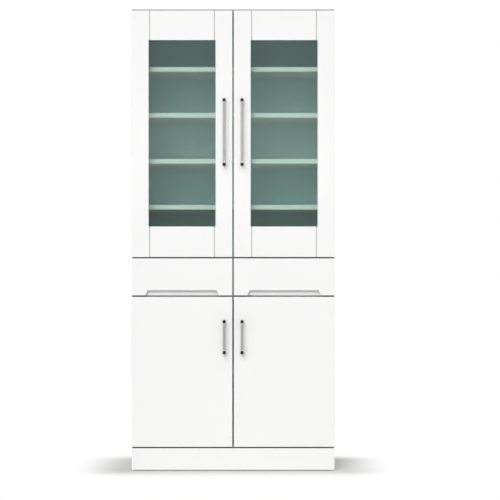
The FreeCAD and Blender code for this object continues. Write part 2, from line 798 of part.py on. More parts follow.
post_master = turned(
    "handle_post",
    [
        ("0", "-stud_length"),
        ("stud_radius", "-stud_length"),
        ("stud_radius", "0"),
        ("post_radius", "0"),
        ("post_radius", "handle_reach - post_ease"),
        ("post_radius - post_ease", "handle_reach"),
        ("0", "handle_reach"),
    ],
)
stud_bore = cylinder("stud_bore", "stud_radius + fit_gap", "-stud_length - hole_gap", "0")


def add_handle(door, side, pitch, middle):
    """Upright bar held by two posts; returns the holes for the posts' studs."""
    across = signed(side, "centre_joint / 2 + handle_inset")
    bar_y = FRONT_FACE + " - bar_stand_off"
    reach = "(%s / 2 - post_radius + bar_socket)" % pitch
    rod = cylinder(door + "_rod", "bar_radius", "-" + reach, reach)
    socket = cylinder(
        door + "_socket",
        "bar_radius + fit_gap",
        "-%s - fit_gap" % reach,
        reach + " + fit_gap",
    )
    bar = copy(door + "_bar", rod, across, bar_y, middle)
    bar_hole = copy(door + "_bar_hole", socket, across, bar_y, middle)
    ends = ["%s + %d * %s / 2" % (middle, step, pitch) for step in (-1, 1)]
    posts = []
    holes = []
    for place, end in enumerate(ends):
        post = copy("%s_post_%d" % (door, place), post_master, across, FRONT_FACE, end, "-y")
        posts.append(cut("%s_drilled_post_%d" % (door, place), post, bar_hole))
        holes.append(copy("%s_stud_hole_%d" % (door, place), stud_bore, across, FRONT_FACE, end, "-y"))
    keep(group(door + "_handle", [bar] + posts))
    return group(door + "_stud_holes", holes)


# Framed glass doors

DOOR_NEAR = "(centre_joint / 2)"
DOOR_FAR = OUTSIDE
OPEN_LOW = "(%s + bottom_rail_height)" % UPPER_DOOR[0]
OPEN_HIGH = "(%s - top_rail_height)" % UPPER_DOOR[1]
OPEN_NEAR = "(%s + stile_width - opening_ease)" % DOOR_NEAR
OPEN_FAR = "(%s - stile_width + opening_ease)" % DOOR_FAR
RAIL_NEAR = "(%s + stile_width)" % DOOR_NEAR
RAIL_FAR = "(%s - stile_width)" % DOOR_FAR
GLASS_FRONT = "(%s + lip_thick)" % FRONT_FACE
GLASS_BACK = "(%s + glass_thick)" % GLASS_FRONT
REBATE_LOW = "(%s - rebate_width)" % OPEN_LOW
REBATE_HIGH = "(%s + rebate_width)" % OPEN_HIGH
REBATE_NEAR = "(%s - rebate_width)" % OPEN_NEAR
REBATE_FAR = "(%s + rebate_width)" % OPEN_FAR
TENON_Y = "(%s + front_thick / 2)" % FRONT_FACE
FRONT_DEPTH = (FRONT_FACE, FRONT_BACK)
REBATE_DEPTH = (GLASS_FRONT, FRONT_BACK)
RAILS = [
    ("bottom_rail", UPPER_DOOR[0], OPEN_LOW),
    ("top_rail", OPEN_HIGH, UPPER_DOOR[1]),
]


def tenon_blocks(door, side, word, near, far, gap):
    """Blocks of the stub tenons of both rails at one stile, or of their mortises."""
    half = "(tenon_thick / 2 + (%s))" % gap
    shoulder = "(tenon_shoulder - (%s))" % gap
    depth = ("%s - %s" % (TENON_Y, half), "%s + %s" % (TENON_Y, half))
    blocks = []
    for name, low, high in RAILS:
        level = ("%s + %s" % (low, shoulder), "%s - %s" % (high, shoulder))
        blocks.append(box("%s_%s_%s" % (door, name, word), beside(side, near, far), depth, level))
    return blocks


def stile_blank(name, side, outer, inner):
    """Upright member with its outer front edge eased and a bevel at the frame joint."""
    inward = 1 if number(inner) > number(outer) else -1
    ease = "%d * edge_ease" % inward
    vee = "%d * joint_vee" % inward
    plan = [
        (outer, FRONT_BACK),
        (outer, FRONT_FACE + " + edge_ease"),
        ("%s + %s" % (outer, ease), FRONT_FACE),
        ("%s - %s" % (inner, vee), FRONT_FACE),
        (inner, FRONT_FACE + " + joint_vee"),
        (inner, FRONT_BACK),
    ]
    points = [(signed(side, across), depth) for across, depth in plan]
    body = padded(name, "XY_Plane", points, "%s - %s" % (UPPER_DOOR[1], UPPER_DOOR[0]))
    locate(body, "0", "0", UPPER_DOOR[0])
    return body


def rail_blank(name, side, low, high):
    """Level member with a bevel at both frame joints."""
    plan = [
        (RAIL_NEAR, FRONT_BACK),
        (RAIL_NEAR, FRONT_FACE + " + joint_vee"),
        (RAIL_NEAR + " + joint_vee", FRONT_FACE),
        (RAIL_FAR + " - joint_vee", FRONT_FACE),
        (RAIL_FAR, FRONT_FACE + " + joint_vee"),
        (RAIL_FAR, FRONT_BACK),
    ]
    points = [(signed(side, across), depth) for across, depth in plan]
    body = padded(name, "XY_Plane", points, "%s - %s" % (high, low))
    locate(body, "0", "0", low)
    return body


def framed_door(door, side):
    pockets = hang(door, side, UPPER_HINGES)
    handle_z = "(%s + upper_handle_rise)" % UPPER_DOOR[0]
    studs = add_handle(door, side, "upper_handle_pitch", handle_z)
    opening = box(
        door + "_opening",
        beside(side, OPEN_NEAR, OPEN_FAR),
        FRONT_DEPTH,
        (OPEN_LOW, OPEN_HIGH),
    )
    rebate = box(
        door + "_rebate",
        beside(side, REBATE_NEAR, REBATE_FAR),
        REBATE_DEPTH,
        (REBATE_LOW, REBATE_HIGH),
    )
    window = fuse(door + "_window", [opening, rebate])

    near_mortises = tenon_blocks(
        door, side, "near_mortise", RAIL_NEAR + " - tenon_length - hole_gap", RAIL_NEAR, "fit_gap"
    )
    far_mortises = tenon_blocks(
        door, side, "far_mortise", RAIL_FAR, RAIL_FAR + " + tenon_length + hole_gap", "fit_gap"
    )
    handle_blank = stile_blank(door + "_handle_stile_blank", side, DOOR_NEAR, RAIL_NEAR)
    hinge_blank = stile_blank(door + "_hinge_stile_blank", side, DOOR_FAR, RAIL_FAR)
    keep(cut(door + "_handle_stile", handle_blank, window, studs, *near_mortises))
    keep(cut(door + "_hinge_stile", hinge_blank, window, pockets, *far_mortises))

    near_tenons = tenon_blocks(door, side, "near_tenon", RAIL_NEAR + " - tenon_length", RAIL_NEAR, "0")
    far_tenons = tenon_blocks(door, side, "far_tenon", RAIL_FAR, RAIL_FAR + " + tenon_length", "0")
    for place, (name, low, high) in enumerate(RAILS):
        blank = rail_blank("%s_%s_blank" % (door, name), side, low, high)
        joined = fuse("%s_%s_joined" % (door, name), [blank, near_tenons[place], far_tenons[place]])
        keep(cut("%s_%s" % (door, name), joined, window))

    pane_x = beside(side, REBATE_NEAR + " + glass_ease", REBATE_FAR + " - glass_ease")
    pane_z = (REBATE_LOW + " + glass_ease", REBATE_HIGH + " - glass_ease")
    keep(box(door + "_glass", pane_x, (GLASS_FRONT, GLASS_BACK), pane_z))
    glass_beads(door, side)


def glass_beads(door, side):
    """Four strips in the rebate behind the pane."""
    depth = (GLASS_BACK, GLASS_BACK + " + bead_thick")
    near = (REBATE_NEAR + " + fit_gap", OPEN_NEAR)
    far = (OPEN_FAR, REBATE_FAR + " - fit_gap")
    tall = (REBATE_LOW + " + fit_gap", REBATE_HIGH + " - fit_gap")
    low = (REBATE_LOW + " + fit_gap", OPEN_LOW)
    high = (OPEN_HIGH, REBATE_HIGH + " - fit_gap")
    between = (OPEN_NEAR, OPEN_FAR)
    strips = [
        box(door + "_near_bead", beside(side, *near), depth, tall),
        box(door + "_far_bead", beside(side, *far), depth, tall),
        box(door + "_low_bead", beside(side, *between), depth, low),
        box(door + "_high_bead", beside(side, *between), depth, high),
    ]
    keep(group(door + "_glass_beads", strips))


framed_door("upper_left_door", -1)
framed_door("upper_right_door", 1)


# Plain lower doors

FRONT_WIDTH = "(%s - %s)" % (DOOR_FAR, DOOR_NEAR)


def plain_door(door, side):
    pockets = hang(door, side, LOWER_HINGES)
    handle_z = "(%s - lower_handle_drop)" % LOWER_DOOR[1]
    studs = add_handle(door, side, "lower_handle_pitch", handle_z)
    tall = "(%s - %s)" % (LOWER_DOOR[1], LOWER_DOOR[0])
    corners = [("0", "0"), (FRONT_WIDTH, "0"), (FRONT_WIDTH, tall), ("0", tall)]
    blank = padded(door + "_blank", "XZ_Plane", corners, "front_thick")
    ease_front(blank)
    locate(blank, beside(side, DOOR_NEAR, DOOR_FAR)[0], FRONT_BACK, LOWER_DOOR[0])
    keep(cut(door + "_panel", blank, pockets, studs))


plain_door("lower_left_door", -1)
plain_door("lower_right_door", 1)


# Drawers

BOX_NEAR = "(%s + box_side_gap)" % BAY_WALL
BOX_FAR = "(%s - box_side_gap)" % INSIDE
BOX_LOW = "(%s + box_floor_gap)" % DECK_TOP
BOX_HIGH = "(%s - box_top_gap)" % DRAWER_CEILING
BOX_REAR = "(%s + box_length)" % FRONT_BACK
BOTTOM_LOW = "(%s + box_bottom_rise)" % BOX_LOW
BOTTOM_HIGH = "(%s + box_bottom_thick)" % BOTTOM_LOW
BOX_Z = (BOX_LOW, BOX_HIGH)
BETWEEN = ("%s + box_side_thick" % BOX_NEAR, "%s - box_side_thick" % BOX_FAR)
SLOT_Z = (BOTTOM_LOW + " - fit_gap", BOTTOM_HIGH + " + fit_gap")


def notched_front(name, side):
    """Drawer front with a finger notch in its lower edge, hollow behind the lip and closed by a web."""
    tall = "(%s - %s)" % (DRAWER_FRONT[1], DRAWER_FRONT[0])
    half = "(%s / 2)" % FRONT_WIDTH
    corners = [
        ("-" + half, "0"),
        ("-notch_bottom_width / 2", "0"),
        ("-notch_top_width / 2", "notch_height"),
        ("notch_top_width / 2", "notch_height"),
        ("notch_bottom_width / 2", "0"),
        (half, "0"),
        (half, tall),
        ("-" + half, tall),
    ]
    body = padded(name, "XZ_Plane", corners, "front_thick")
    ease_front(body)
    web = body.newObject("PartDesign::Pad", name + "_web")
    web.Profile = outline(
        body,
        "XZ_Plane",
        [
            ("-notch_bottom_width / 2", "0"),
            ("notch_bottom_width / 2", "0"),
            ("notch_bottom_width / 2", "notch_height"),
            ("-notch_bottom_width / 2", "notch_height"),
        ],
    )
    bind(web, Length="notch_web")
    undercut = [
        ("notch_lip - front_thick", "notch_height"),
        ("-notch_web", "notch_height"),
        ("-notch_web", "notch_height + notch_undercut"),
    ]
    pocket = body.newObject("PartDesign::Pocket", name + "_undercut")
    pocket.Profile = outline(body, "YZ_Plane", undercut)
    pocket.SideType = "Symmetric"
    bind(pocket, Length="notch_top_width")
    middle = signed(side, "(%s + %s) / 2" % (DOOR_NEAR, DOOR_FAR))
    locate(body, middle, FRONT_BACK, DRAWER_FRONT[0])
    return keep(body)


def box_side(name, side, near, far, outer):
    """Drawer side with a groove for the runner strip outside and for the bottom inside."""
    blank = box(name + "_blank", beside(side, near, far), (FRONT_BACK, BOX_REAR), BOX_Z)
    depth = "(runner_thick - box_side_gap + slide_gap)"
    if outer == "far":
        track_x = ("%s - %s" % (far, depth), far)
        slot_x = (near, near + " + box_groove")
    else:
        track_x = (near, "%s + %s" % (near, depth))
        slot_x = (far + " - box_groove", far)
    track_z = (
        "%s - runner_height / 2 - slide_gap" % RUNNER_Z,
        "%s + runner_height / 2 + slide_gap" % RUNNER_Z,
    )
    track_y = (FRONT_BACK + " + slide_stop", BOX_REAR)
    track = box(name + "_track", beside(side, *track_x), track_y, track_z)
    slot = box(name + "_slot", beside(side, *slot_x), (FRONT_BACK, BOX_REAR), SLOT_Z)
    return cut(name, blank, track, slot)


def drawer(name, side):
    notched_front(name + "_front", side)
    near_side = box_side(name + "_near_side", side, BOX_NEAR, BETWEEN[0], "near")
    far_side = box_side(name + "_far_side", side, BETWEEN[1], BOX_FAR, "far")
    keep(group(name + "_box_sides", [near_side, far_side]))

    between = beside(side, *BETWEEN)
    front_y = (FRONT_BACK, FRONT_BACK + " + box_end_thick")
    front_blank = box(name + "_box_front_blank", between, front_y, BOX_Z)
    slot_y = (FRONT_BACK + " + box_end_thick - box_groove", FRONT_BACK + " + box_end_thick")
    front_slot = box(name + "_box_front_slot", between, slot_y, SLOT_Z)
    keep(cut(name + "_box_front", front_blank, front_slot))

    rear_y = (BOX_REAR + " - box_end_thick", BOX_REAR)
    keep(box(name + "_box_back", between, rear_y, (BOTTOM_HIGH, BOX_HIGH)))

    bottom_x = (BETWEEN[0] + " - box_groove + fit_gap", BETWEEN[1] + " + box_groove - fit_gap")
    bottom_y = (slot_y[0] + " + fit_gap", BOX_REAR)
    keep(box(name + "_box_bottom", beside(side, *bottom_x), bottom_y, (BOTTOM_LOW, BOTTOM_HIGH)))


drawer("left_drawer", -1)
drawer("right_drawer", 1)


# Runner strips on the sides and the divider

strips = []
STRIP_Z = (RUNNER_Z + " - runner_height / 2", RUNNER_Z + " + runner_height / 2")
for side, word in ((-1, "left"), (1, "right")):
    for place, near, far in (
        ("wall", INSIDE + " - runner_thick", INSIDE),
        ("middle", BAY_WALL, BAY_WALL + " + runner_thick"),
    ):
        name = "runner_%s_%s" % (word, place)
        blank = box(name + "_blank", beside(side, near, far), (RUNNER_FRONT, RUNNER_REAR), STRIP_Z)
        bored = cut(name + "_bored", blank, screw_cuts)
        strips.append(cut(name, bored, runner_cuts))
keep(group("drawer_runners", strips))


# Finished pieces

doc.recompute()
for item in doc.Objects:
    if "Invalid" in item.State or "Error" in item.State:
        raise RuntimeError("%s did not rebuild: %s" % (item.Label, item.State))

os.makedirs("parts", exist_ok=True)
for piece in pieces:
    if piece.Shape.isNull() or not piece.Shape.isValid():
        raise RuntimeError("%s has no sound shape" % piece.Label)
    piece.Shape.exportStep("parts/%s.step" % piece.Label)
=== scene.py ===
import json
import math

import bmesh
import bpy
from mathutils import Matrix, Vector

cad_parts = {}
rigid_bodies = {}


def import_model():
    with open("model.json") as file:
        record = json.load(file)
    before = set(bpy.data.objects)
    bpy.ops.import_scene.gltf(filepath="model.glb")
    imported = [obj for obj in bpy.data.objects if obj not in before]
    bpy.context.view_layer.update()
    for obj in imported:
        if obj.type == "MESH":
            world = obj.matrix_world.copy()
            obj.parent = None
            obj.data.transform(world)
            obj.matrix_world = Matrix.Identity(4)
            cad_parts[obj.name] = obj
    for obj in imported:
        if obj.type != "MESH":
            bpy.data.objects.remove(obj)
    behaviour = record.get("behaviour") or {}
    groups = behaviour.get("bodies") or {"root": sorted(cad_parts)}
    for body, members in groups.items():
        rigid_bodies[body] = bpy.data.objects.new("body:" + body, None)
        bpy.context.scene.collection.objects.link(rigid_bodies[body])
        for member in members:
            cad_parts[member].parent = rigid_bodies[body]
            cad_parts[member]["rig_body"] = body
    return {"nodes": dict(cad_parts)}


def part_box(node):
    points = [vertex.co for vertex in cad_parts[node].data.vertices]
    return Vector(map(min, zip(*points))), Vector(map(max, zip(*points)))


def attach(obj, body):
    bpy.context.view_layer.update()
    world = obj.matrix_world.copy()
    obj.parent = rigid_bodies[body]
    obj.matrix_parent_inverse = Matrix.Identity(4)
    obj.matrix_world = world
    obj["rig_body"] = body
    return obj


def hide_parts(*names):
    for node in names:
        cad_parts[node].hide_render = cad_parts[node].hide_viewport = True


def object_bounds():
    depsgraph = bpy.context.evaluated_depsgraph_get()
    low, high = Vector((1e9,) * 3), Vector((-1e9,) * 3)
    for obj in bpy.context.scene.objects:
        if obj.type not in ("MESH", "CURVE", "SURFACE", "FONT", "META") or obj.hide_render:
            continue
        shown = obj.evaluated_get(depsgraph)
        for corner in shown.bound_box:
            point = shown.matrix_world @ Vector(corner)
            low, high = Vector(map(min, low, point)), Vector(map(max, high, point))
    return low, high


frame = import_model()
cad_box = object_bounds()
nodes = frame["nodes"]

# White kitchen cupboard: a finish for every board and fitting, fronts with rounded edges,
# turned bar handles and cross-head screws. Metres, +Z up, the front faces -Y.

MM = 0.001
WELD = 0.01 * MM
UP = Vector((0, 0, 1))

GLASS_DOORS = ("upper_left_door", "upper_right_door")
PLAIN_DOORS = ("lower_left_door", "lower_right_door")
DRAWERS = ("left_drawer", "right_drawer")
FRAME_MEMBERS = ("hinge_stile", "handle_stile", "top_rail", "bottom_rail")
SHELVES = ["upper_shelf_%d" % level for level in (1, 2, 3, 4)] + ["lower_shelf"]
CARCASS = (
    "upper_left_side",
    "upper_right_side",
    "upper_top_panel",
    "upper_floor_panel",
    "lower_left_side",
    "lower_right_side",
    "lower_top_panel",
    "drawer_deck",
    "drawer_divider",
    "lower_floor_panel",
    "plinth_back_rail",
)


# Material nodes

# Sockets of a colour Mix node, by number because their names repeat.
MIX_FACTOR, MIX_A, MIX_B, MIX_RESULT = 0, 6, 7, 2
ALONG_X, ALONG_Y, ALONG_Z = 0, 1, 2


def linear(code):
    """Linear RGBA of an sRGB hex colour."""
    parts = [int(code[place : place + 2], 16) / 255 for place in (1, 3, 5)]
    return [((part + 0.055) / 1.055) ** 2.4 if part > 0.04045 else part / 12.92 for part in parts] + [1.0]


def across(millimetres):
    """Texture scale at which one feature is this wide."""
    return 1 / (millimetres * MM)


def feed(tree, node, inputs):
    """Link a node's inputs to other nodes, or give them a plain value."""
    for name, value in inputs.items():
        if isinstance(value, bpy.types.NodeSocket):
            tree.links.new(value, node.inputs[name])
        else:
            node.inputs[name].default_value = value


def add(tree, kind, inputs=None, **fields):
    """One new node with its fields set and its inputs fed."""
    node = tree.nodes.new("ShaderNode" + kind)
    for field, value in fields.items():
        setattr(node, field, value)
    feed(tree, node, inputs or {})
    return node


def new_finish(name):
    """Empty material: itself, its tree, its shader and the place that its pattern reads."""
    material = bpy.data.materials.new(name)
    material.use_nodes = True
    tree = material.node_tree
    place = add(tree, "TexCoord").outputs["Object"]
    return material, tree, tree.nodes["Principled BSDF"], place


def drawn_out(tree, place, along, stretch, shift=(0, 0, 0)):
    """The place squeezed along one axis, so that a pattern runs out along it, and shifted."""
    scale = [1.0, 1.0, 1.0]
    scale[along] = 1 / stretch
    squeezed = add(tree, "Mapping", {"Vector": place, "Location": shift, "Scale": scale})
    return squeezed.outputs["Vector"]


# Board finishes

# Tape, print and the bare edge of a board end between these depths from its face.
THINNEST = 0.3 * MM
THICKEST = 0.5 * MM


def white_lacquer():
    # Lacquer sprayed on fibreboard: an even satin white with the faint orange peel of the spray.
    material, tree, shader, place = new_finish("sprayed_white_lacquer")
    cloud = add(tree, "TexNoise", {"Vector": place, "Scale": across(240), "Detail": 2.0})
    tone = add(
        tree,
        "Mix",
        {MIX_FACTOR: cloud.outputs["Fac"], MIX_A: linear("#F7F7F7"), MIX_B: linear("#F3F3F3")},
        data_type="RGBA",
    )
    gloss = add(tree, "MapRange", {"Value": cloud.outputs["Fac"], "To Min": 0.27, "To Max": 0.35})
    # The peel is about 1.5 mm across; it is drawn at 4 mm so that it shows.
    peel = add(tree, "TexNoise", {"Vector": place, "Scale": across(4), "Detail": 1.0})
    bump = add(tree, "Bump", {"Height": peel.outputs["Fac"], "Strength": 0.2, "Distance": 0.05 * MM})
    feed(
        tree,
        shader,
        {
            "Base Color": tone.outputs[MIX_RESULT],
            "Roughness": gloss.outputs["Result"],
            "Normal": bump.outputs["Normal"],
        },
    )
    return material


def melamine_board():
    # Melamine foil pressed on chipboard: a pearl-embossed white, with the chips bare on its rear edges.
    # The front
    # edges of the carcass are dark grey: painted shade, so that the gaps between the fronts read dark.
    material, tree, shader, place = new_finish("white_melamine_board")
    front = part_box("upper_top_panel")[0].y
    rear = cad_box[1].y
    depth = add(tree, "SeparateXYZ", {"Vector": place}).outputs["Y"]
    past_shaded_edge = add(
        tree,
        "MapRange",
        {"Value": depth, "From Min": front + THINNEST, "From Max": front + THICKEST},
    )
    bare = add(
        tree,
        "MapRange",
        {"Value": depth, "From Min": rear - THICKEST, "From Max": rear - THINNEST},
    )
    # Chips are 1 to 2 mm; they are drawn at 4 mm so that they show.
    chips = add(tree, "TexVoronoi", {"Vector": place, "Scale": across(4)})
    chip_tone = add(
        tree,
        "Mix",
        {MIX_FACTOR: chips.outputs["Color"], MIX_A: linear("#8F6C45"), MIX_B: linear("#D3B688")},
        data_type="RGBA",
    )
    cloud = add(tree, "TexNoise", {"Vector": place, "Scale": across(160), "Detail": 3.0})
    foil_tone = add(
        tree,
        "Mix",
        {MIX_FACTOR: cloud.outputs["Fac"], MIX_A: linear("#F3F3F1"), MIX_B: linear("#EEEEEB")},
        data_type="RGBA",
    )
    # Dark grey on the carcass front edges: painted shade for the gaps between the fronts and above the
    # doors.
    edge_shade_tone = add(
        tree,
        "Mix",
        {
            MIX_FACTOR: past_shaded_edge.outputs["Result"],
            MIX_A: linear("#868887"),
            MIX_B: foil_tone.outputs[MIX_RESULT],
        },
        data_type="RGBA",
    )
    tone = add(
        tree,
        "Mix",
        {
            MIX_FACTOR: bare.outputs["Result"],
            MIX_A: edge_shade_tone.outputs[MIX_RESULT],
            MIX_B: chip_tone.outputs[MIX_RESULT],
        },
        data_type="RGBA",
    )
    gloss = add(tree, "MapRange", {"Value": bare.outputs["Result"], "To Min": 0.45, "To Max": 0.9})
    pearl = add(tree, "TexNoise", {"Vector": place, "Scale": across(2), "Detail": 2.0})
    bump = add(tree, "Bump", {"Height": pearl.outputs["Fac"], "Strength": 0.25, "Distance": 0.08 * MM})
    feed(
        tree,
        shader,
        {
            "Base Color": tone.outputs[MIX_RESULT],
            "Roughness": gloss.outputs["Result"],
            "Normal": bump.outputs["Normal"],
        },
    )
    return material


def printed_back(name, pale, dark, sheet):
    """Lauan plywood with a printed paper face of two close tones inside and bare veneer elsewhere.

    The sheet is the shift that gives each panel a veneer of its own.
    """
    material, tree, shader, place = new_finish(name)
    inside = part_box("upper_back_panel")[0].y
    depth = add(tree, "SeparateXYZ", {"Vector": place}).outputs["Y"]
    bare = add(
        tree,
        "MapRange",
        {"Value": depth, "From Min": inside + THINNEST, "From Max": inside + THICKEST},
    )
    run = drawn_out(tree, place, ALONG_Z, 40, sheet)
    veneer = add(tree, "TexNoise", {"Vector": run, "Scale": across(9), "Detail": 5.0, "Distortion": 0.3})
    veneer_tone = add(
        tree,
        "Mix",
        {MIX_FACTOR: veneer.outputs["Fac"], MIX_A: linear("#B98C66"), MIX_B: linear("#D9B48C")},
        data_type="RGBA",
    )
    print_grain = add(
        tree,
        "TexNoise",
        {"Vector": drawn_out(tree, place, ALONG_Z, 25), "Scale": across(5), "Detail": 3.0},
    )
    print_tone = add(
        tree,
        "Mix",
        {MIX_FACTOR: print_grain.outputs["Fac"], MIX_A: linear(pale), MIX_B: linear(dark)},
        data_type="RGBA",
    )
    tone = add(
        tree,
        "Mix",
        {
            MIX_FACTOR: bare.outputs["Result"],
            MIX_A: print_tone.outputs[MIX_RESULT],
            MIX_B: veneer_tone.outputs[MIX_RESULT],
        },
        data_type="RGBA",
    )
    gloss = add(tree, "MapRange", {"Value": bare.outputs["Result"], "To Min": 0.55, "To Max": 0.8})
    bump = add(tree, "Bump", {"Height": veneer.outputs["Fac"], "Strength": 0.2, "Distance": 0.1 * MM})
    feed(
        tree,
        shader,
        {
            "Base Color": tone.outputs[MIX_RESULT],
            "Roughness": gloss.outputs["Result"],
            "Normal": bump.outputs["Normal"],
        },
    )
    return material


def sealed_wood(name, along, pale, dark, ring):
    """Clear-sealed wood with its grain along one axis and rings this many millimetres apart."""
    material, tree, shader, place = new_finish(name)
    run = drawn_out(tree, place, along, 30)
    rings = add(tree, "TexNoise", {"Vector": run, "Scale": across(ring), "Detail": 2.0, "Distortion": 0.8})
    pores = add(tree, "TexNoise", {"Vector": run, "Scale": across(1.5), "Detail": 3.0})
    figure = add(tree, "MapRange", {"Value": rings.outputs["Fac"], "From Min": 0.35, "From Max": 0.65})
    streak = add(
        tree,
        "Math",
        {0: figure.outputs["Result"], 1: pores.outputs["Fac"]},
        operation="MULTIPLY",
    )
    tone = add(
        tree,
        "Mix",
        {MIX_FACTOR: streak.outputs["Value"], MIX_A: linear(pale), MIX_B: linear(dark)},
        data_type="RGBA",
    )
    gloss = add(tree, "MapRange", {"Value": pores.outputs["Fac"], "To Min": 0.42, "To Max": 0.6})
    bump = add(tree, "Bump", {"Height": pores.outputs["Fac"], "Strength": 0.25, "Distance": 0.1 * MM})
    feed(
        tree,
        shader,
        {
            "Base Color": tone.outputs[MIX_RESULT],
            "Roughness": gloss.outputs["Result"],
            "Normal": bump.outputs["Normal"],
        },
    )
    return material


# Glass, metal and plastic finishes


def misted_glass():
    # Sea-green float glass, etched on one face: what is close behind shows as soft bands,
    # deeper things melt away, and a thin haze lifts the darks. Lamps reach through it. The etch
    # mirrors less than a polished face, so the IOR is lower than that of clear glass.
    material, tree, shader, place = new_finish("etched_green_glass")
    # The etch is far below a millimetre; it is drawn at 1.5 mm so that it shows.
    etch = add(tree, "TexNoise", {"Vector": place, "Scale": across(1.5), "Detail": 2.0})
    mist = add(tree, "MapRange", {"Value": etch.outputs["Fac"], "To Min": 0.2, "To Max": 0.27})
    feed(
        tree,
        shader,
        {
            "Base Color": linear("#CDD9D3"),
            "Roughness": mist.outputs["Result"],
            "IOR": 1.27,
            "Transmission Weight": 1.0,
        },
    )
    lamp_way = add(tree, "BsdfTransparent", {"Color": linear("#DBEAE6")})
    ray = add(tree, "LightPath")
    both = add(
        tree,
        "MixShader",
        {0: ray.outputs["Is Shadow Ray"], 1: shader.outputs["BSDF"], 2: lamp_way.outputs["BSDF"]},
    )
    feed(tree, tree.nodes["Material Output"], {"Surface": both.outputs["Shader"]})
    return material


def worked_metal(name, dull, bright, smooth, rough, along=None):
    """Metal with a slow drift of tone and fine tool marks, run out along one axis if it is brushed."""
    material, tree, shader, place = new_finish(name)
    run = place if along is None else drawn_out(tree, place, along, 60)
    drift = add(tree, "TexNoise", {"Vector": place, "Scale": across(25), "Detail": 2.0})
    # Tool marks are about 0.2 mm; they are drawn at 0.8 mm so that they show.
    marks = add(tree, "TexNoise", {"Vector": run, "Scale": across(0.8), "Detail": 2.0})
    tone = add(
        tree,
        "Mix",
        {MIX_FACTOR: drift.outputs["Fac"], MIX_A: linear(dull), MIX_B: linear(bright)},
        data_type="RGBA",
    )
    gloss = add(tree, "MapRange", {"Value": marks.outputs["Fac"], "To Min": smooth, "To Max": rough})
    bump = add(tree, "Bump", {"Height": marks.outputs["Fac"], "Strength": 0.15, "Distance": 0.02 * MM})
    feed(
        tree,
        shader,
        {
            "Base Color": tone.outputs[MIX_RESULT],
            "Metallic": 1.0,
            "Roughness": gloss.outputs["Result"],
            "Normal": bump.outputs["Normal"],
        },
    )
    return material


def moulded_plastic(name, pale, dark, smooth, rough):
    """Plastic with the fine spark texture of its mould."""
    material, tree, shader, place = new_finish(name)
    cloud = add(tree, "TexNoise", {"Vector": place, "Scale": across(30), "Detail": 2.0})
    tone = add(
        tree,
        "Mix",
        {MIX_FACTOR: cloud.outputs["Fac"], MIX_A: linear(pale), MIX_B: linear(dark)},
        data_type="RGBA",
    )
    spark = add(tree, "TexNoise", {"Vector": place, "Scale": across(0.7), "Detail": 2.0})
    gloss = add(tree, "MapRange", {"Value": spark.outputs["Fac"], "To Min": smooth, "To Max": rough})
    bump = add(tree, "Bump", {"Height": spark.outputs["Fac"], "Strength": 0.2, "Distance": 0.03 * MM})
    feed(
        tree,
        shader,
        {
            "Base Color": tone.outputs[MIX_RESULT],
            "Roughness": gloss.outputs["Result"],
            "Normal": bump.outputs["Normal"],
        },
    )
    return material


lacquer = white_lacquer()
melamine = melamine_board()
# Pale sea-green print behind the glass: a quiet ground that the white shelves stand out from.
green_back = printed_back("sea_green_print_on_lauan", "#C6E4E9", "#BADCE1", (0, 0, 0))
# Grey-white print in the lower cabinet.
pale_back = printed_back("pale_print_on_lauan", "#D9DBD8", "#CFD2CF", (1, 0, 1))
glass = misted_glass()
# Paulownia, the usual light drawer wood: silvery straw colour with wide soft rings.
drawer_wood = sealed_wood("sealed_paulownia", ALONG_Y, "#E4D6BC", "#B99B6E", 11)
drawer_end_wood = sealed_wood("sealed_paulownia_crosswise", ALONG_X, "#E4D6BC", "#B99B6E", 11)
# Lauan plywood: a pinker tan with fine straight pores.
bottom_ply = sealed_wood("lauan_plywood", ALONG_Y, "#DCC3A2", "#B08A63", 7)
# Beech: even pinkish tan with short dark flecks.
beech = sealed_wood("turned_beech", ALONG_X, "#D9B98F", "#A97F53", 3)
# Satin nickel over turned brass: soft mid grey, brushed along the bar.
satin_nickel = worked_metal("brushed_satin_nickel", "#9C9C9B", "#ADADAC", 0.3, 0.42, ALONG_Z)
# Nickel posts made near-black: painted dark reflection on the post ends, with a narrow hard highlight.
dark_reflection_nickel = worked_metal("dark_reflection_nickel", "#262627", "#323233", 0.26, 0.36)
# Polished nickel: the bright ring at each end of a bar.
bright_nickel = worked_metal("polished_nickel", "#D6D5D2", "#E2E1DE", 0.08, 0.16)
# Nickel-plated pressed steel: cool, fairly bright, with a rolled sheen.
nickel_steel = worked_metal("nickel_plated_steel", "#B9B9B7", "#CACAC8", 0.2, 0.32, ALONG_Y)
# Zinc-plated steel: bluish and duller than nickel.
zinc_steel = worked_metal("zinc_plated_steel", "#A9ADB0", "#BDC0C2", 0.28, 0.42)
# A dull grey: painted shade on undersides, and primer in the V of a frame joint where the top coat runs
# thin, which also paints the groove's shade.
primer_and_shade = moulded_plastic("grey_primer_and_painted_shade", "#9A9C9B", "#8C8F8E", 0.7, 0.85)
# White vinyl strip: slightly warm beside the lacquer.
vinyl = moulded_plastic("white_vinyl", "#F0EFEA", "#E8E7E1", 0.38, 0.5)
# Nylon slide strip: milky and waxy.
nylon = moulded_plastic("milky_nylon", "#E9E7DF", "#DEDBD0", 0.34, 0.46)
# Polyethylene glide: dull and greyer.
polyethylene = moulded_plastic("grey_polyethylene", "#C9C7C0", "#BAB8B0", 0.5, 0.65)
# Soft urethane pad: pale and slightly glossy.
urethane = moulded_plastic("soft_urethane", "#E6E8E4", "#DBDEDA", 0.2, 0.3)


# Finishes on the boards and fittings that keep their shape


def dress(material, *names):
    """Give one finish to the nodes of these names."""
    for name in names:
        slots = nodes[name].data.materials
        slots.clear()
        slots.append(material)


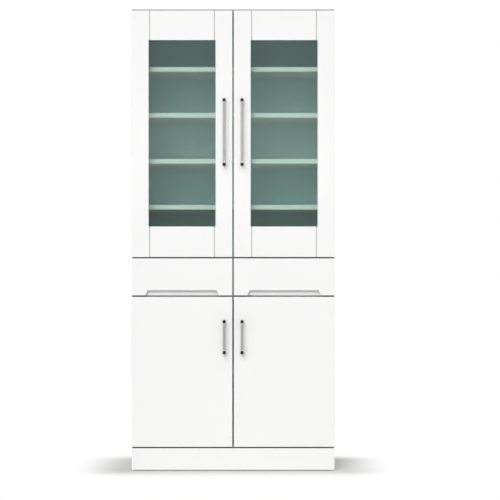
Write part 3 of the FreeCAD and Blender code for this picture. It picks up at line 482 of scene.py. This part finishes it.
dress(beech, "dowels")
dress(nickel_steel, "hinge_arms", "hinge_plates", "shelf_pins")
dress(zinc_steel, "joining_plates")
dress(nylon, "drawer_runners")
dress(polyethylene, "floor_glides")
dress(urethane, "door_bumpers")
for door in GLASS_DOORS:
    dress(glass, door + "_glass")
    dress(vinyl, door + "_glass_beads")
for door in GLASS_DOORS + PLAIN_DOORS:
    dress(nickel_steel, door + "_hinge_cups")
for drawer in DRAWERS:
    dress(drawer_wood, drawer + "_box_sides")
    dress(drawer_end_wood, drawer + "_box_front", drawer + "_box_back")
    dress(bottom_ply, drawer + "_box_bottom")


# Meshes

ROUND_STEPS = 32
SHARP_ANGLE = math.radians(32)


def piece(name, bm, material, body, slot, *stands_for, rounded=False):
    """Finished piece in its place, riding on its body."""
    mesh = bpy.data.meshes.new(name)
    bm.to_mesh(mesh)
    bm.free()
    mesh.materials.append(material)
    if rounded:
        mesh.shade_smooth()
        mesh.set_sharp_from_angle(angle=SHARP_ANGLE)
    else:
        mesh.shade_flat()
    item = bpy.data.objects.new(name, mesh)
    bpy.context.scene.collection.objects.link(item)
    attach(item, body)
    if stands_for:
        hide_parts(*stands_for)
    return item


def welded(node):
    """Copy of a node's mesh with its triangles joined."""
    bm = bmesh.new()
    bm.from_mesh(nodes[node].data)
    bmesh.ops.remove_doubles(bm, verts=bm.verts[:], dist=WELD)
    return bm


def solids_of(node):
    """The separate solids of a node, each as the box round it and the list of its points."""
    bm = welded(node)
    left = set(bm.verts)
    solids = []
    while left:
        front = [left.pop()]
        points = []
        while front:
            vert = front.pop()
            points.append(vert.co.copy())
            beside = {edge.other_vert(vert) for edge in vert.link_edges} & left
            left -= beside
            front.extend(beside)
        low = Vector([min(point[axis] for point in points) for axis in range(3)])
        high = Vector([max(point[axis] for point in points) for axis in range(3)])
        solids.append((low, high, points))
    bm.free()
    return sorted(solids, key=lambda solid: tuple(round(value, 5) for value in solid[0]))


def turned(profile, steps=ROUND_STEPS, ring=False):
    """Shape turned round Z from (radius, height) points in millimetres; a ring's profile is closed."""
    bm = bmesh.new()
    verts = [bm.verts.new((radius * MM, 0, height * MM)) for radius, height in profile]
    pairs = list(zip(verts, verts[1:]))
    if ring:
        pairs.append((verts[-1], verts[0]))
    edges = [bm.edges.new(pair) for pair in pairs]
    bmesh.ops.spin(
        bm,
        geom=verts + edges,
        cent=(0, 0, 0),
        axis=UP,
        angle=math.tau,
        steps=steps,
        use_merge=True,
    )
    bmesh.ops.remove_doubles(bm, verts=bm.verts[:], dist=WELD)
    bmesh.ops.recalc_face_normals(bm, faces=bm.faces[:])
    return bm


def stamp(target, master, place, towards=UP):
    """Add a copy of a master to a mesh, with its Z axis turned to a direction."""
    turn = UP.rotation_difference(Vector(towards)).to_matrix().to_4x4()
    mesh = bpy.data.meshes.new("stamp")
    master.to_mesh(mesh)
    mesh.transform(Matrix.Translation(place) @ turn)
    target.from_mesh(mesh)
    bpy.data.meshes.remove(mesh)


# Fronts, plinth and shelves with rounded edges

FLAT_ANGLE = math.radians(1)
EDGE_ANGLE = math.radians(25)
LONG_EDGE = 12 * MM
LACQUER_ROUND = 0.5 * MM
FOIL_ROUND = 0.6 * MM
PLY_ROUND = 1 * MM


def rounded_board(node, material, slot, radius):
    """A node's board with its long outer edges rounded over."""
    bm = welded(node)
    bmesh.ops.dissolve_limit(bm, angle_limit=FLAT_ANGLE, verts=bm.verts[:], edges=bm.edges[:])
    edges = [
        edge
        for edge in bm.edges
        if edge.is_manifold
        and edge.is_convex
        and edge.calc_face_angle() > EDGE_ANGLE
        and edge.calc_length() > LONG_EDGE
    ]
    bmesh.ops.bevel(
        bm,
        geom=edges,
        offset=radius,
        offset_type="OFFSET",
        segments=2,
        profile=0.5,
        affect="EDGES",
        material=-1,
        clamp_overlap=True,
    )
    return piece("rounded_" + node, bm, material, nodes[node]["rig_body"], slot, node)


LEAN = 0.3
JOINT_REACH = 3 * MM
UNDER_REACH = 35 * MM
PRIMER_AND_SHADE = 1


def lacquered_front(node, low, joints=()):
    """Front with grey painted shade on the undersides near its lowest height, and grey primer that also
    paints the shade in the V of its joints.
    """
    item = rounded_board(node, lacquer, "white_front", LACQUER_ROUND)
    item.data.materials.append(primer_and_shade)
    for face in item.data.polygons:
        under = face.normal.z < -LEAN and face.center.z < low + UNDER_REACH
        leans = face.normal.y < -LEAN and abs(face.normal.x) > LEAN
        at_joint = any(abs(abs(face.center.x) - joint) < JOINT_REACH for joint in joints)
        # Undersides get painted shade; the V of a joint gets primer grey that also paints the groove's
        # shade.
        if under or (leans and at_joint):
            face.material_index = PRIMER_AND_SHADE


for door in GLASS_DOORS:
    near = max(abs(corner.x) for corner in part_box(door + "_handle_stile"))
    far = min(abs(corner.x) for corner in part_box(door + "_hinge_stile"))
    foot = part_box(door + "_bottom_rail")[0].z
    for member in FRAME_MEMBERS:
        lacquered_front("%s_%s" % (door, member), foot, (near, far))
for front in [door + "_panel" for door in PLAIN_DOORS] + [drawer + "_front" for drawer in DRAWERS]:
    lacquered_front(front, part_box(front)[0].z)
rounded_board("plinth_front", lacquer, "white_front", LACQUER_ROUND)
for board in (*SHELVES, *CARCASS):
    rounded_board(board, melamine, "white_board", FOIL_ROUND)
rounded_board("upper_back_panel", green_back, "tinted_back_board", PLY_ROUND)
rounded_board("lower_back_panel", pale_back, "back_board", PLY_ROUND)


# Bar handles, in millimetres

POST_PROFILE = [
    (0, -16),
    (2, -16),
    (2, 0),
    (6.1, 0),
    (6.5, 0.4),
    (6.5, 3.2),
    (5.9, 3.9),
    (5.9, 12.4),
    (6.5, 13.2),
    (6.5, 28.4),
    (6.2, 29.3),
    (5.4, 29.9),
    (4.6, 30),
    (4.0, 29.5),
    (0, 29.3),
]
BAR_RADIUS = 5.0
BAR_EASE = 0.4
BAR_SOCKET = 3.0
RING_RADIUS = 5.6
RING_WIDTH = 3.6
RING_EASE = 0.5
GROOVE_WIDTH = 0.9
GROOVE_DEPTH = 0.7


def bar_profile(half):
    """Bar of this half length with a groove inside each of its two rings."""
    groove_out = half - BAR_SOCKET - RING_WIDTH
    groove_in = groove_out - GROOVE_WIDTH
    upper = [
        (BAR_RADIUS, groove_in),
        (BAR_RADIUS - GROOVE_DEPTH, groove_in),
        (BAR_RADIUS - GROOVE_DEPTH, groove_out),
        (BAR_RADIUS, groove_out),
        (BAR_RADIUS, half - BAR_EASE),
        (BAR_RADIUS - BAR_EASE, half),
        (0, half),
    ]
    lower = [(radius, -height) for radius, height in reversed(upper)]
    return lower + upper


def ring_profile(low):
    """Bright ring over the bar from this height up."""
    high = low + RING_WIDTH
    return [
        (BAR_RADIUS, low),
        (RING_RADIUS - RING_EASE, low),
        (RING_RADIUS, low + RING_EASE),
        (RING_RADIUS, high - RING_EASE),
        (RING_RADIUS - RING_EASE, high),
        (BAR_RADIUS, high),
    ]


def bar_handle(door):
    """Bar, posts and rings of one door's handle, each its own piece."""
    node = door + "_handle"
    solids = sorted(solids_of(node), key=lambda solid: solid[1].z - solid[0].z)
    posts, (bar_low, bar_high, _) = solids[:2], solids[2]
    bar_place = (bar_low + bar_high) / 2
    half = (bar_high.z - bar_low.z) / 2 / MM
    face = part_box(door + ("_panel" if door in PLAIN_DOORS else "_handle_stile"))[0].y

    bar = bmesh.new()
    stamp(bar, turned(bar_profile(half)), bar_place)
    piece(node + "_bar", bar, satin_nickel, door, "handle_metal", node, rounded=True)

    rings = bmesh.new()
    ring_low = half - BAR_SOCKET - RING_WIDTH
    for low in (ring_low, -ring_low - RING_WIDTH):
        stamp(rings, turned(ring_profile(low), ring=True), bar_place)
    piece(node + "_rings", rings, bright_nickel, door, "handle_metal", node, rounded=True)

    pair = bmesh.new()
    for low, high, _ in posts:
        middle = (low + high) / 2
        stamp(pair, turned(POST_PROFILE), (middle.x, face, middle.z), (0, -1, 0))
    # The posts' near-black colour paints the dark reflection on their ends.
    piece(node + "_posts", pair, dark_reflection_nickel, door, "handle_metal", node, rounded=True)


for door in GLASS_DOORS + PLAIN_DOORS:
    bar_handle(door)


# Cross-head screws, in millimetres

HEAD_RADIUS = 3.4
HEAD_HEIGHT = 1.8
SHANK_RADIUS = 1.75
SHANK_LENGTH = 12
SHANK_STEPS = 12
HEAD_CELLS = 5
HEAD_DOME = 0.45
CROSS_WIDTH = 0.1
CROSS_REACH = 0.5
CROSS_DEPTH = 1.0


def cross_head(radius, height):
    """Domed head standing on the XY plane, with a cross recess in its top."""
    bm = bmesh.new()
    bmesh.ops.create_grid(bm, x_segments=HEAD_CELLS, y_segments=HEAD_CELLS, size=1)
    rim = [edge for edge in bm.edges if edge.is_boundary]
    for vert in {vert for edge in rim for vert in edge.verts}:
        vert.co.normalize()
    for vert in bm.verts:
        vert.co.z = 1 - HEAD_DOME * vert.co.xy.length_squared
    cross = []
    for face in bm.faces:
        narrow, wide = sorted(abs(value) for value in face.calc_center_median().xy)
        if narrow < CROSS_WIDTH and wide < CROSS_REACH:
            cross.append(face)
    wall = bmesh.ops.extrude_edge_only(bm, edges=rim)["geom"]
    for vert in wall:
        if isinstance(vert, bmesh.types.BMVert):
            vert.co.z = 0
    bmesh.ops.holes_fill(bm, edges=[edge for edge in bm.edges if edge.is_boundary])
    sunk = bmesh.ops.extrude_face_region(bm, geom=cross)["geom"]
    bmesh.ops.scale(bm, vec=(radius * MM, radius * MM, height * MM), verts=bm.verts[:])
    bmesh.ops.translate(
        bm,
        vec=(0, 0, -CROSS_DEPTH * MM),
        verts=[item for item in sunk if isinstance(item, bmesh.types.BMVert)],
    )
    bmesh.ops.delete(bm, geom=[face for face in cross if face.is_valid], context="FACES")
    bmesh.ops.recalc_face_normals(bm, faces=bm.faces[:])
    return bm


def wood_screw():
    """Cross-head screw, its head standing on the XY plane and its point below."""
    bm = turned(
        [(0, -SHANK_LENGTH), (SHANK_RADIUS, SHANK_RADIUS - SHANK_LENGTH), (SHANK_RADIUS, 0), (0, 0)],
        steps=SHANK_STEPS,
    )
    stamp(bm, cross_head(HEAD_RADIUS, HEAD_HEIGHT), (0, 0, 0))
    return bm


def carcass_screws():
    """Every screw of the carcass, turned the way its head points."""
    screws = bmesh.new()
    master = wood_screw()
    for low, high, points in solids_of("carcass_screws"):
        middle = (low + high) / 2
        widest = max(points, key=lambda point: (point.yz - middle.yz).length)
        side = 1 if widest.x > middle.x else -1
        seat = high.x - HEAD_HEIGHT * MM if side > 0 else low.x + HEAD_HEIGHT * MM
        stamp(screws, master, (seat, middle.y, middle.z), (side, 0, 0))
    piece("cross_head_screws", screws, zinc_steel, "cabinet", "screw_steel", "carcass_screws")


carcass_screws()

CUP_SCREW_REACH = 24
CUP_LEAST_HEIGHT = 50
CUP_HEAD_HEIGHT = 1.5


def cup_screws(door):
    """Two screws in the flange of each hinge cup."""
    screws = bmesh.new()
    master = cross_head(HEAD_RADIUS, CUP_HEAD_HEIGHT)
    for low, high, _ in solids_of(door + "_hinge_cups"):
        if high.z - low.z < CUP_LEAST_HEIGHT * MM:
            continue
        middle = (low + high) / 2
        for step in (-1, 1):
            place = (middle.x, high.y, middle.z + step * CUP_SCREW_REACH * MM)
            stamp(screws, master, place, (0, 1, 0))
    piece(door + "_cup_screws", screws, zinc_steel, door, "screw_steel")


for door in GLASS_DOORS + PLAIN_DOORS:
    cup_screws(door)

ARM_SCREW_SETBACKS = (12, 40)
ARM_HEAD_RADIUS = 2.9


def arm_screws():
    """Fixing and adjusting screw on the flat of each hinge arm."""
    screws = bmesh.new()
    master = cross_head(ARM_HEAD_RADIUS, HEAD_HEIGHT)
    for low, high, _ in solids_of("hinge_arms"):
        middle = (low + high) / 2
        inward = 1 if middle.x < 0 else -1
        flat = high.x if inward > 0 else low.x
        for setback in ARM_SCREW_SETBACKS:
            place = (flat, high.y - setback * MM, middle.z)
            stamp(screws, master, place, (inward, 0, 0))
    piece("hinge_arm_screws", screws, zinc_steel, "cabinet", "screw_steel")


arm_screws()

DRAWER_SCREW_INSET = 45
DRAWER_SCREW_RISES = (30, 80)


def drawer_screws(drawer):
    """Four screws through the box front into the drawer front."""
    screws = bmesh.new()
    master = cross_head(HEAD_RADIUS, HEAD_HEIGHT)
    low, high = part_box(drawer + "_box_front")
    for across_x in (low.x + DRAWER_SCREW_INSET * MM, high.x - DRAWER_SCREW_INSET * MM):
        for rise in DRAWER_SCREW_RISES:
            stamp(screws, master, (across_x, high.y, low.z + rise * MM), (0, 1, 0))
    piece(drawer + "_front_screws", screws, zinc_steel, drawer, "screw_steel")


for drawer in DRAWERS:
    drawer_screws(drawer)


# Floor, light and camera

FLOOR_REACH = 30
SHADOW_REACH = 0.24
AMBIENT = 0.4
KEY_STRENGTH = 1.62
KEY_ANGLE = math.radians(46)
KEY_HEIGHT = math.radians(32)
KEY_SIDE = math.radians(-17)
FILL_STRENGTH = 0.6
FILL_ANGLE = math.radians(80)
FILL_HEIGHT = math.radians(25)
FILL_SIDE = math.radians(110)
FRONT_LAMP_PLACE = (-0.02, -2.6, 1.4)
FRONT_LAMP_AIM = (0, -0.2, 1.3)
FRONT_LAMP_WIDTH = 1.3
FRONT_LAMP_HEIGHT = 0.22
FRONT_LAMP_POWER = 5
WHITE = linear("#FFFFFF")


def seen_ray(tree):
    """1 for rays from the camera, straight or by way of metal and glass, and 0 for light on a board."""
    ray = add(tree, "LightPath")
    mirrored = add(
        tree,
        "Math",
        {0: ray.outputs["Is Camera Ray"], 1: ray.outputs["Is Glossy Ray"]},
        operation="MAXIMUM",
    )
    through = add(
        tree,
        "Math",
        {0: mirrored.outputs["Value"], 1: ray.outputs["Is Transmission Ray"]},
        operation="MAXIMUM",
    )
    unscattered = add(tree, "Math", {0: ray.outputs["Diffuse Depth"], 1: 1.0}, operation="LESS_THAN")
    seen = add(
        tree,
        "Math",
        {0: through.outputs["Value"], 1: unscattered.outputs["Value"]},
        operation="MULTIPLY",
    )
    return seen.outputs["Value"]


def studio_floor():
    """Pale matt floor that keeps the shadow round the foot and melts into white further off."""
    material, tree, shader, place = new_finish("matt_white_floor")
    corner = (cad_box[1].x, -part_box("plinth_front")[0].y, 0)
    away = add(tree, "VectorMath", {0: place}, operation="ABSOLUTE")
    past = add(tree, "VectorMath", {0: away.outputs["Vector"], 1: corner}, operation="SUBTRACT")
    outside = add(tree, "VectorMath", {0: past.outputs["Vector"], 1: (0, 0, 0)}, operation="MAXIMUM")
    reach = add(tree, "VectorMath", {0: outside.outputs["Vector"]}, operation="LENGTH")
    fade = add(
        tree,
        "MapRange",
        {"Value": reach.outputs["Value"], "From Max": SHADOW_REACH},
        interpolation_type="SMOOTHSTEP",
    )
    share = add(tree, "Math", {0: fade.outputs["Result"], 1: seen_ray(tree)}, operation="MULTIPLY")
    feed(tree, shader, {"Base Color": linear("#E4E4E2"), "Roughness": 1.0, "Specular IOR Level": 0.0})
    glow = add(tree, "Emission", {"Color": WHITE, "Strength": 1.0})
    both = add(
        tree,
        "MixShader",
        {0: share.outputs["Value"], 1: shader.outputs["BSDF"], 2: glow.outputs["Emission"]},
    )
    feed(tree, tree.nodes["Material Output"], {"Surface": both.outputs["Shader"]})
    bm = bmesh.new()
    bmesh.ops.create_grid(bm, x_segments=2, y_segments=2, size=FLOOR_REACH)
    mesh = bpy.data.meshes.new("studio_floor")
    bm.to_mesh(mesh)
    bm.free()
    mesh.materials.append(material)
    floor = bpy.data.objects.new("studio_floor", mesh)
    bpy.context.scene.collection.objects.link(floor)


def studio_world():
    """White to the eye, and an even soft light on the cupboard."""
    world = bpy.data.worlds.new("studio_white")
    world.use_nodes = True
    tree = world.node_tree
    level = add(tree, "MapRange", {"Value": seen_ray(tree), "To Min": AMBIENT, "To Max": 1.0})
    feed(tree, tree.nodes["Background"], {"Color": WHITE, "Strength": level.outputs["Result"]})
    bpy.context.scene.world = world


def lamp(name, kind, place, aim, **fields):
    """Lamp at a place, pointed at another."""
    data = bpy.data.lights.new(name, kind)
    for field, value in fields.items():
        setattr(data, field, value)
    item = bpy.data.objects.new(name, data)
    item.location = place
    item.rotation_euler = (Vector(aim) - Vector(place)).to_track_quat("-Z", "Y").to_euler()
    bpy.context.scene.collection.objects.link(item)


def sky_place(side, height):
    """Direction of a far lamp from its angle to the right of the front and its height."""
    level = math.cos(height)
    return (math.sin(side) * level, -math.cos(side) * level, math.sin(height))


def studio_light():
    """Broad window light, a side fill and a low softbox that hazes the panes."""
    key_place = sky_place(KEY_SIDE, KEY_HEIGHT)
    fill_place = sky_place(FILL_SIDE, FILL_HEIGHT)
    lamp("window_light", "SUN", key_place, (0, 0, 0), energy=KEY_STRENGTH, angle=KEY_ANGLE)
    lamp("side_fill", "SUN", fill_place, (0, 0, 0), energy=FILL_STRENGTH, angle=FILL_ANGLE)
    lamp(
        "front_softbox",
        "AREA",
        FRONT_LAMP_PLACE,
        FRONT_LAMP_AIM,
        energy=FRONT_LAMP_POWER,
        shape="RECTANGLE",
        size=FRONT_LAMP_WIDTH,
        size_y=FRONT_LAMP_HEIGHT,
    )


# The photograph's frame: the cupboard's middle and foot in pixels, and its width for the scale.
PHOTO_SIDE = 500
PHOTO_MIDDLE_X = 233.1
PHOTO_FOOT_Y = 470.7
PHOTO_WIDTH = 202.7
CAMERA_AWAY = 8.0
SENSOR = 36.0


def straight_camera():
    """Level camera straight before the fronts."""
    low, high = cad_box
    per_pixel = (high.x - low.x) / PHOTO_WIDTH
    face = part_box("plinth_front")[0].y
    data = bpy.data.cameras.new("front_camera")
    data.sensor_width = SENSOR
    data.lens = SENSOR * CAMERA_AWAY / (PHOTO_SIDE * per_pixel)
    camera = bpy.data.objects.new("front_camera", data)
    camera.location = (
        (PHOTO_SIDE / 2 - PHOTO_MIDDLE_X) * per_pixel,
        face - CAMERA_AWAY,
        (PHOTO_FOOT_Y - PHOTO_SIDE / 2) * per_pixel,
    )
    camera.rotation_euler = (math.pi / 2, 0, 0)
    bpy.context.scene.collection.objects.link(camera)
    bpy.context.scene.camera = camera


studio_floor()
studio_world()
studio_light()
straight_camera()
bpy.context.scene.view_settings.view_transform = "Standard"
